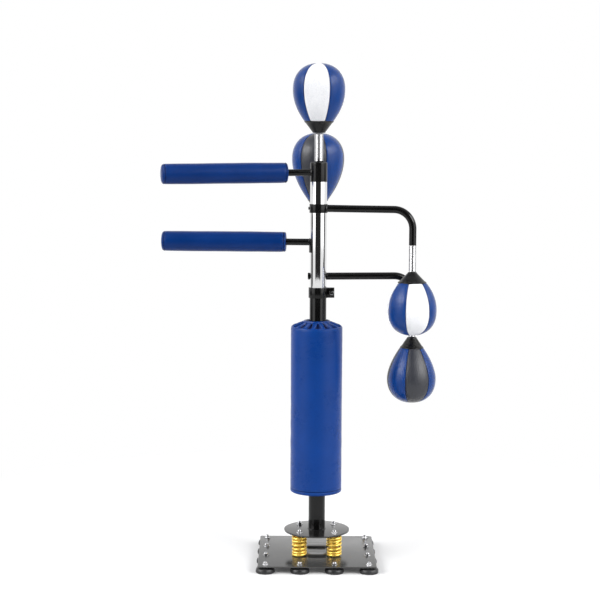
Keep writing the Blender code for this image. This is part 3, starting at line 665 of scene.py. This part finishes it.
def top_disc():
    radius = half_width("top_disc")
    bottom, top = span_of("top_disc")
    disc = turned([(0, bottom), (radius, bottom, 0.0008), (radius, top, 0.0008), (0, top)],
                  steps=128, cuts=3)
    piece("disc", placed(disc), DISC_ENAMEL, "black_paint", "post", "top_disc")
    bead = weld_bead(half_width("lower_pole"), 0.0042, seed=3.0)
    piece("disc_weld", placed(bead, (0, 0, top)), BLACK_ENAMEL, "black_paint", "post")
    for row in ("front", "rear"):
        for side in ("left", "right"):
            node = f"disc_bolt_{row}_{side}"
            middle = centre_of(node)
            nut = acorn(top + 0.0002)
            plug = turned([(0, bottom - 0.0003), (0.018, bottom - 0.0003),
                           (0.0176, bottom - 0.0083, 0.0012), (0, bottom - 0.0083)], steps=40)
            piece(f"disc_nut_{row}_{side}", placed(joined(nut, plug), (middle.x, middle.y, 0), 17),
                  ZINC, "bright_steel", "post", node)


# ---- post ----
def pole_and_mast():
    for name, node, coat, slot, body in (
            ("pole", "lower_pole", BLACK_ENAMEL, "black_paint", "post"),
            ("mast_tube", "mast", ZINC, "bright_steel", "mast")):
        tube = straight_tube(half_width(node), 0.0033, *span_of(node))
        piece(name, placed(tube), coat, slot, body, node)


def pole_clamp():
    """A split ring round the pole's top, with two ears and a cross screw."""
    low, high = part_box("pole_clamp")
    bore = half_width("lower_pole") + 0.0002
    outer = (high.y - low.y) / 2
    reach = high.x - AXIS.x
    gap = 4.0                       # half of the split, in degrees
    ring = part_ring(bore, outer, low.z, high.z, gap, 360 - 2 * gap, 88, 0.0006)
    ears = [block((bore + 0.002, side * 0.0015, low.z + 0.0004),
                  (reach, side * 0.0095, high.z - 0.0004), 0.0009) for side in (-1, 1)]
    for ear in ears:
        bmesh.ops.recalc_face_normals(ear, faces=ear.faces)
    piece("clamp", placed(joined(ring, *ears)), BLACK_ENAMEL, "black_paint", "post", "pole_clamp")
    middle = centre_of("clamp_bolt")
    head = hex_socket_head(0.0095, 0.0082, 0.0076)
    tail = hex_head(0.0095, 0.0062, 0.0070, 0.0060)
    bmesh.ops.rotate(tail, cent=(0, 0, 0), matrix=Matrix.Rotation(math.pi, 3, "X"),
                     verts=tail.verts)
    shank = turned([(0.0039, 0.0095), (0.0039, -0.0095)], steps=24)
    bolt = placed(joined(head, tail, shank), (middle.x, 0, middle.z), lean=(90, "X"))
    piece("clamp_screw", bolt, ZINC, "bright_steel", "post", "clamp_bolt")


def hex_socket_head(bottom, radius, height):
    """A round cap screw with a hexagon recess, standing along +Z."""
    top = bottom + height
    flat = radius * 0.52
    head = turned([(0, bottom), (radius, bottom, 0.0003), (radius, top, 0.0009),
                   (radius * 0.66, top), (flat * 1.14, top), (flat * 1.14, top - 0.0030),
                   (0, top - 0.0034)], steps=48, cuts=3)
    for vert in head.verts:
        out = math.hypot(vert.co.x, vert.co.y)
        if abs(out - flat * 1.14) < 0.0002:
            turn = math.atan2(vert.co.y, vert.co.x) % (math.pi / 3) - math.pi / 6
            share = flat / math.cos(turn) / out
            vert.co.x *= share
            vert.co.y *= share
    return head


def heavy_bag():
    """A stuffed tube with sewn ends, a pleated cone on top, and a collar round the pole."""
    low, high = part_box("heavy_bag")
    radius = half_width("heavy_bag")
    pole = half_width("lower_pole") + 0.0004
    shoulder = high.z - 0.018
    neck = 0.054
    rise = shoulder - 0.0075 - low.z - 0.016
    side = [(radius - 0.0006 * math.sin(math.pi * k / 54), low.z + 0.016 + rise * k / 54)
            for k in range(55)]
    edge = radius - 0.0045
    cone = [(edge + (neck - edge) * k / 9, shoulder + 0.0005 + 0.0175 * k / 9)
            for k in range(10)]
    profile = [(pole, low.z + 0.004), (radius - 0.012, low.z + 0.003), (radius - 0.004, low.z),
               (radius - 0.0005, low.z + 0.0022, 0.001), (radius, low.z + 0.008),
               (radius, low.z + 0.0125), (radius - 0.0012, low.z + 0.0142)]
    profile += side
    profile += [(radius - 0.0004, shoulder - 0.0045), (radius - 0.0018, shoulder - 0.0020)]
    profile += cone
    profile += [(neck - 0.0012, high.z + 0.0040, 0.0012), (neck - 0.0045, high.z + 0.0058, 0.0016),
                (neck - 0.0090, high.z + 0.0030, 0.0014), (neck - 0.0120, high.z - 0.0030),
                (pole, high.z - 0.0040)]
    shape = turned(profile, steps=PLEATS * 14, closed=True, cuts=2)
    pleat_shade = shape.verts.layers.float.new("pleat_shade")
    pleat = math.tau / PLEATS
    for vert in shape.verts:
        x, y, z = vert.co
        out, angle = math.hypot(x, y), math.atan2(y, x)
        if z > shoulder and out > neck - 0.001:
            share = (out - neck) / (radius - 0.004 - neck)
            phase = ((angle - math.radians(FRONT_PLEAT)) / pleat + 0.5) % 1 - 0.5
            width = 0.15 + 0.20 * share
            dip = max(0.0, 1 - (abs(phase) / width) ** 2.5)
            fade = min(1.0, share / 0.12) * min(1.0, (1.0 - share) / 0.10)
            vert.co.z -= 0.0075 * dip * max(fade, 0.0)
            # painted shade: each pleat's dip is marked here, and the vinyl darkens it
            vert[pleat_shade] = min(1.0, 1.3 * dip) * max(fade, 0.0)
            ridge = math.exp(-((abs(phase) - width - 0.04) / 0.05) ** 2)
            vert.co.z += 0.0022 * ridge * max(fade, 0.0)
        elif out > radius * 0.9:
            slack = noise.noise((x * 9, y * 9, z * 26)) * 0.0007
            slack += noise.noise((x * 30, y * 30, z * 60)) * 0.00025
            crumple = math.exp(-(shoulder - z) / 0.05) * 0.0010
            crumple *= math.sin(z * 700 + 2 * math.sin(angle * 3))
            grown = 1 + (slack + crumple * noise.noise((x * 14, y * 14, 2.0))) / out
            vert.co.x *= grown
            vert.co.y *= grown
        # The filling sags a little to one side of the pole.
        vert.co.x -= 0.0045 * min(1.0, max(0.0, (out - pole) / (neck - pole)))
    rows = (low.z + 0.0150, high.z - 0.0300)

    def seam_at(co):
        angle = math.atan2(co.y - AXIS.y, co.x - AXIS.x)
        return min(abs(co.z - row) for row in rows), angle * radius

    mark_seams(placed(shape), seam_at)
    item = piece("bag", shape, BLUE_VINYL, "blue_vinyl", "post", "heavy_bag")


# ---- head ----
def sleeve_and_hub():
    low, high = span_of("chrome_sleeve")
    tube = straight_tube(half_width("chrome_sleeve"), 0.0030, low, high, 0.0005, steps=128)
    piece("sleeve", placed(tube), CHROME, "chrome", "head", "chrome_sleeve")
    outer, bottom, top = half_width("hub"), high + 0.0003, span_of("hub")[1]
    cap = turned([(0, top), (outer, top, 0.0055), (outer, bottom, 0.0006),
                  (outer - 0.0045, bottom)], steps=96, cuts=6)
    piece("hub_cap", placed(cap), BLACK_ENAMEL, "black_paint", "head", "hub")


def padded_bars():
    """Each bar is made upright along +Z, then leant out along its own direction."""
    for name in ("upper", "lower"):
        middle = centre_of(f"{name}_bar_pad")
        turn = math.degrees(math.atan2(middle.y, middle.x))
        droop = UPPER_BAR_DROOP if name == "upper" else 0.0
        height = middle.z + math.hypot(middle.x, middle.y) * math.tan(math.radians(droop))
        inner, seed = (SLEEVE_SIDE, 7.0) if name == "upper" else (BRACKET_SIDE, 9.0)
        rod = turned([(0, inner - 0.004), (BAR_ROD_RADIUS, inner - 0.004),
                      (BAR_ROD_RADIUS, 0.200), (0, 0.200)], steps=40)
        bead = weld_bead(BAR_ROD_RADIUS, 0.0032, seed, wrap=inner)
        bmesh.ops.rotate(bead, cent=(0, 0, 0), matrix=Matrix.Rotation(math.pi / 2, 3, "Z"),
                         verts=bead.verts)
        bmesh.ops.translate(bead, vec=(0, 0, inner), verts=bead.verts)
        piece(f"{name}_rod", placed(joined(rod, bead), (0, 0, height), turn, (90 + droop, "Y")),
              BLACK_ENAMEL, "black_paint", "head", f"{name}_bar_rod")
        start, end, radius = PAD_START, PAD_END, PAD_RADIUS
        length = end - start - 0.024
        side = [(radius - 0.0012 + 0.0010 * math.sin(math.pi * k / 40) ** 0.5,
                 start + 0.011 + (length - 0.002) * k / 40) for k in range(41)]
        profile = ([(0.0137, start + 0.030), (0.0142, start + 0.004), (0.018, start + 0.0008),
                    (radius - 0.010, start, 0.003), (radius - 0.0035, start + 0.0018, 0.002),
                    (radius - 0.0008, start + 0.0062), (radius - 0.0022, start + 0.0088)]
                   + side + [(radius - 0.0020, end - 0.0125), (radius - 0.0010, end - 0.0105),
                             (radius - 0.0042, end - 0.0045), (radius - 0.010, end - 0.0016),
                             (radius * 0.5, end + 0.0002), (0, end + 0.0008)])
        pad = turned(profile, steps=96, cuts=3)
        for vert in pad.verts:
            x, y, z = vert.co
            out = math.hypot(x, y)
            if out > 0.030 and start + 0.012 < z < end - 0.014:
                soft = noise.noise((x * 22, y * 22, z * 9)) * 0.0007
                soft += noise.noise((x * 60, y * 60, z * 40)) * 0.0002
                vert.co.x *= 1 + soft / out
                vert.co.y *= 1 + soft / out
        rows = (start + 0.0088, end - 0.0125)
        mark_seams(pad, lambda co: (min(abs(co.z - row) for row in rows),
                                    math.atan2(co.y, co.x) * radius))
        item = piece(f"{name}_pad", placed(pad, (0, 0, height), turn, (90 + droop, "Y")),
                     SHADED_PAD_VINYL, "blue_vinyl", "head", f"{name}_bar_pad")


def rear_bracket():
    """A saddle plate bent round the sleeve, under the lower bar and the rear arm."""
    shape = part_ring(0.0337, 0.0371, *span_of("saddle"), 60, 162, 48, 0.0007)
    piece("bracket", placed(shape), BLACK_ENAMEL, "black_paint", "head", "saddle")


def arms():
    """The tubes, with a bead where each meets the sleeve, the saddle or its own band."""
    for name, body, turn, reach, bend, post, height in (
            ("rear_arm", "head", 90, 0.230, 0.040, BRACKET_SIDE, REAR_ARM_Z),
            ("lower_arm", "head", 6, 0.382, 0.075, SLEEVE_SIDE, LOWER_ARM_Z),
            ("upper_arm", "upper_arm", -14, 0.380, 0.075, BAND_SIDE, UPPER_ARM_Z)):
        end = span_of(name)[1 if name == "rear_arm" else 0]
        tube = bent_tube(ARM_RADIUS, 0.05, reach, bend, end - height, cut=post)
        bead = weld_bead(ARM_RADIUS, 0.0034, seed=float(turn), wrap=post)
        bmesh.ops.transform(bead, verts=bead.verts,
                            matrix=Matrix.Translation((post, 0, 0))
                            @ Matrix.Rotation(math.pi / 2, 4, "Y")
                            @ Matrix.Rotation(math.pi / 2, 4, "Z"))
        shapes = [tube, bead]
        if name == "upper_arm":
            shapes.append(straight_tube(post, 0.0023, -0.0175, 0.0175))
        piece(f"{name}_tube", placed(joined(*shapes), (0, 0, height), turn), BLACK_ENAMEL,
              "black_paint", body, name)
    screw = hex_socket_head(0.0364, 0.0056, 0.0042)
    piece("band_grub_screw", placed(screw, (0, 0, UPPER_ARM_Z), 180, (90, "Y")), DARK_STEEL,
          "bright_steel", "upper_arm", "band_screw")
    nut = hex_head(0.0334, 0.0118, 0.0130, 0.0080)
    piece("sleeve_nut", placed(nut, (0, 0, LOWER_ARM_Z), 180, (90, "Y")), BLACK_ENAMEL,
          "black_paint", "head")


# ---- strike balls ----
FULL_NECK = 0.44            # of the radius: height of a neck that is not cut short
STITCH_SETBACK = 0.112      # of the radius: how far the leather turns in under the neck
# Degrees from each seam to the next, in steps that are finer beside the seams.
PANEL = (0.9, 1.1, 1.6, 2.6, 4.4, 6.2, 6.6, 6.6, 6.6, 6.6, 6.2, 4.4, 2.6, 1.6, 1.1, 0.9)


def ball_side(radius, height, neck, loss, bend, tip):
    """The ball's profile from the crown down to the neck, upright on z = 0. Loss and bend
    say how much it narrows by the neck, and how late; tip is the neck's narrow end."""
    body = height / radius - FULL_NECK - 1
    crown, lower = 18, 22
    line = [(0.0, height)]
    for k in range(1, crown + 1):
        angle = math.pi / 2 * k / crown
        line.append((radius * math.sin(angle) ** 0.89,
                     height - radius * (1 - max(math.cos(angle), 0.0) ** 0.89)))
    for k in range(1, lower + 1):
        share = k / lower
        line.append((radius * (1 - loss * share ** bend), height - radius * (1 + body * share)))
    while line[-1][1] > neck + 0.001:
        rim, level = line[-1]
        line.append((rim - 0.0031 * (1 - loss - tip) / FULL_NECK, max(level - 0.0031, neck)))
    return line + [(line[-1][0] - STITCH_SETBACK * radius, neck - 0.004)]


def strike_ball(name, parent, turn, second_coat, slot, hanging, coil_radius, wire, share, form):
    """Six leather panels on a rubber neck, and the close-wound spring that carries them.
    Share is the neck's height as a part of the radius."""
    radius = half_width(f"{name}_ball")
    middle = centre_of(f"{name}_ball")
    bottom, top = span_of(f"{name}_ball")
    tall = top - bottom
    neck = share * radius
    loss, _, tip = form
    shape = turned(ball_side(radius, tall, neck, *form), angles=PANEL * 6)

    def from_seam(co):
        """Distance out from the axis, part of the way across the panel, and to its seam."""
        out = math.hypot(co.x, co.y)
        phase = (math.degrees(math.atan2(co.y, co.x)) % 60) / 60
        return out, phase, min(phase, 1 - phase) * out * math.pi / 3

    for vert in shape.verts:
        out, phase, near = from_seam(vert.co)
        sink = 0.0017 * math.exp(-(near / 0.0022) ** 2)
        puff = 0.0016 * math.sin(math.pi * phase) ** 0.8 * min(1.0, out / (0.5 * radius))
        if out > 0.002:
            vert.co.x *= 1 + (puff - sink - 0.0008) / out
            vert.co.y *= 1 + (puff - sink - 0.0008) / out
    for face in shape.faces:
        spot = face.calc_center_median()
        face.material_index = int(math.degrees(math.atan2(spot.y, spot.x)) % 360 // 60) % 2
    mark_seams(shape, lambda co: (from_seam(co)[2], tall - co.z))

    wide, narrow = radius * (tip + (1 - loss - tip) * share / FULL_NECK), radius * tip
    cone = turned([(wide - STITCH_SETBACK * radius, neck + 0.001),
                   (wide + 0.0002, neck + 0.0026, 0.0012), (wide + 0.0012, neck - 0.0012, 0.0012),
                   (wide * 0.86 + narrow * 0.14 + 0.0008, neck * 0.86, 0.0008),
                   (wide * 0.84 + narrow * 0.16 - 0.0002, neck * 0.84, 0.0004),
                   (narrow + 0.0020, neck * 0.10, 0.003), (narrow, 0.0006, 0.0008),
                   (0.0, 0.0)], steps=72, cuts=3)
    lean = (180, "X") if hanging else None
    at = (middle.x, middle.y, top if hanging else bottom)
    spin = -turn if hanging else turn
    bmesh.ops.rotate(shape, cent=(0, 0, 0), matrix=Matrix.Rotation(math.radians(spin), 3, "Z"),
                     verts=shape.verts)
    ball = piece(f"{name}_strike_ball", placed(shape, at, lean=lean), [second_coat, BLUE_LEATHER],
                 slot, f"{name}_ball", f"{name}_ball", sharp=50)
    piece(f"{name}_ball_neck", placed(cone, at, lean=lean), NECK_RUBBER, "black_rubber",
          f"{name}_ball")

    low, high = span_of(f"{name}_spring")
    count = 8 * round((high - low - wire) / (wire * 1.04) / 2)
    heights = [low + wire / 2 + (high - low - wire) * k / count for k in range(count + 1)]
    below, above = (f"{name}_ball", parent) if hanging else (parent, f"{name}_ball")
    bending_spring(f"{name}_spring", (middle.x, middle.y, 0), coil_radius - wire / 2, wire,
                   heights, (6, 8), COIL_CHROME, "chrome", (below, f"{name}_coil", above))


def strike_balls():
    for name, parent, turn, hanging, share, form in (
            ("top", "head", -126.4, False, 0.44, (0.447, 2.02, 0.235)),
            ("rear", "head", -131.9, False, 0.22, (0.470, 1.90, 0.235)),
            ("upper", "upper_arm", -48.3, True, 0.44, (0.429, 2.19, 0.165)),
            ("lower", "head", -48.3, True, 0.44, (0.525, 1.70, 0.185))):
        second_coat, slot = ((WHITE_LEATHER, "blue_white_leather") if name in ("top", "upper")
                             else (BLACK_LEATHER, "blue_black_leather"))
        coil_radius, wire = (0.0145, 0.0028) if hanging else (0.018, 0.0034)
        strike_ball(name, parent, turn, second_coat, slot, hanging, coil_radius, wire, share,
                    form)


# ---- studio ----
LEVEL = 0.69                # of the light all round
# Panels of light or dark: degrees round from the front (right is positive), degrees up, how
# far each fades beyond those, and its strength.
PANELS = (
    (-180, 180, 60, 95, 15, 15, 0.60),      # the ceiling
    (-40, 29, -30, 50, 3, 6, 0.025),        # the dark room behind the camera
    (36, 78, -3, 12, 3, 5, 2.4),            # tall boxes, right and left
    (-77, -44, -3, 12, 3, 5, 2.2),
    (38, 62, 20, 40, 5, 4, 10.0),           # raised boxes, right and left
    (-80, -46, 20, 40, 5, 4, 10.0),
    (-112, -80, -30, 0, 2, 2, 0.10),        # black flags, left and right
    (83, 104, -30, 0, 2, 2, 0.20),
    (-96, -78, 20, 46, 3, 4, 4.8),          # edge lights, left and right
    (64, 96, 20, 40, 3, 4, 5.0))


def ray_kinds(g):
    """Whether a ray comes from the camera, and whether it was mirrored or let through."""
    path = g.add("LightPath").outputs
    return path["Is Camera Ray"], g.calc("MAXIMUM", path["Is Glossy Ray"],
                                         path["Is Transmission Ray"])


def light():
    world = bpy.data.worlds.new("studio")
    bpy.context.scene.world = world
    world.use_nodes = True
    g = Graph(world.node_tree)
    parts = g.add("SeparateXYZ", {"Vector": g.add("TexCoord").outputs["Generated"]}).outputs
    around = g.calc("ARCTAN2", parts["X"], g.calc("MULTIPLY", parts["Y"], -1.0))
    around = g.calc("MULTIPLY", around, 180 / math.pi)
    up = g.calc("MULTIPLY", g.calc("ARCSINE", parts["Z"]), 180 / math.pi)
    camera_ray, mirrored = ray_kinds(g)
    level = g.add("Mix", {0: mirrored, 2: LEVEL, 3: 1.0}, data_type="FLOAT").outputs[0]
    for low, high, bottom, top, edge, fade, strength in PANELS:
        inside = g.calc("MULTIPLY", g.window(around, low, high, edge),
                        g.window(up, bottom, top, fade))
        mixed = g.add("Mix", {0: inside, 2: level, 3: strength}, data_type="FLOAT")
        level = mixed.outputs[0]
    seen = g.add("Mix", {0: camera_ray, 2: level, 3: 1.0}, data_type="FLOAT").outputs[0]
    g.feed(world.node_tree.nodes["Background"], {"Color": (1, 1, 1, 1), "Strength": seen})


def pale_floor():
    """A matt floor that holds the shadow, and goes plain white farther out."""
    coat = bpy.data.materials.new("pale_floor")
    coat.use_nodes = True
    nodes = coat.node_tree.nodes
    nodes.remove(nodes["Principled BSDF"])
    g = Graph(coat.node_tree)
    camera_ray, mirrored = ray_kinds(g)
    matt = g.add("BsdfDiffuse", {"Color": (0.80, 0.80, 0.80, 1)}).outputs[0]
    glow = g.add("Emission", {"Color": (1, 1, 1, 1),
                              "Strength": g.calc("MULTIPLY", camera_ray, 0.06)}).outputs[0]
    lit = g.add("AddShader", {0: matt, 1: glow}).outputs[0]
    away = g.add("VectorMath", {0: g.add("TexCoord").outputs["Object"], 1: tuple(AXIS)},
                 operation="DISTANCE").outputs["Value"]
    far = g.calc("MULTIPLY", g.ramp(away, 0.9, 2.2), g.calc("MAXIMUM", camera_ray, mirrored))
    white = g.add("Emission", {"Color": (1, 1, 1, 1), "Strength": 1.0}).outputs[0]
    mixed = g.add("MixShader", {0: far, 1: lit, 2: white}).outputs[0]
    g.feed(nodes["Material Output"], {"Surface": mixed})
    return coat


def floor():
    shape = bmesh.new()
    bmesh.ops.create_circle(shape, cap_ends=True, segments=96, radius=4.5)
    mesh = bpy.data.meshes.new("floor")
    shape.to_mesh(mesh)
    shape.free()
    mesh.materials.append(pale_floor())
    item = bpy.data.objects.new("floor", mesh)
    STUDIO.objects.link(item)


set_camera()
base_plate()
suction_cups()
acorn_nuts()
spring_seats()
base_springs()
top_disc()
pole_and_mast()
pole_clamp()
heavy_bag()
sleeve_and_hub()
padded_bars()
rear_bracket()
arms()
strike_balls()
light()
floor()
bpy.context.scene.view_settings.view_transform = "Standard"
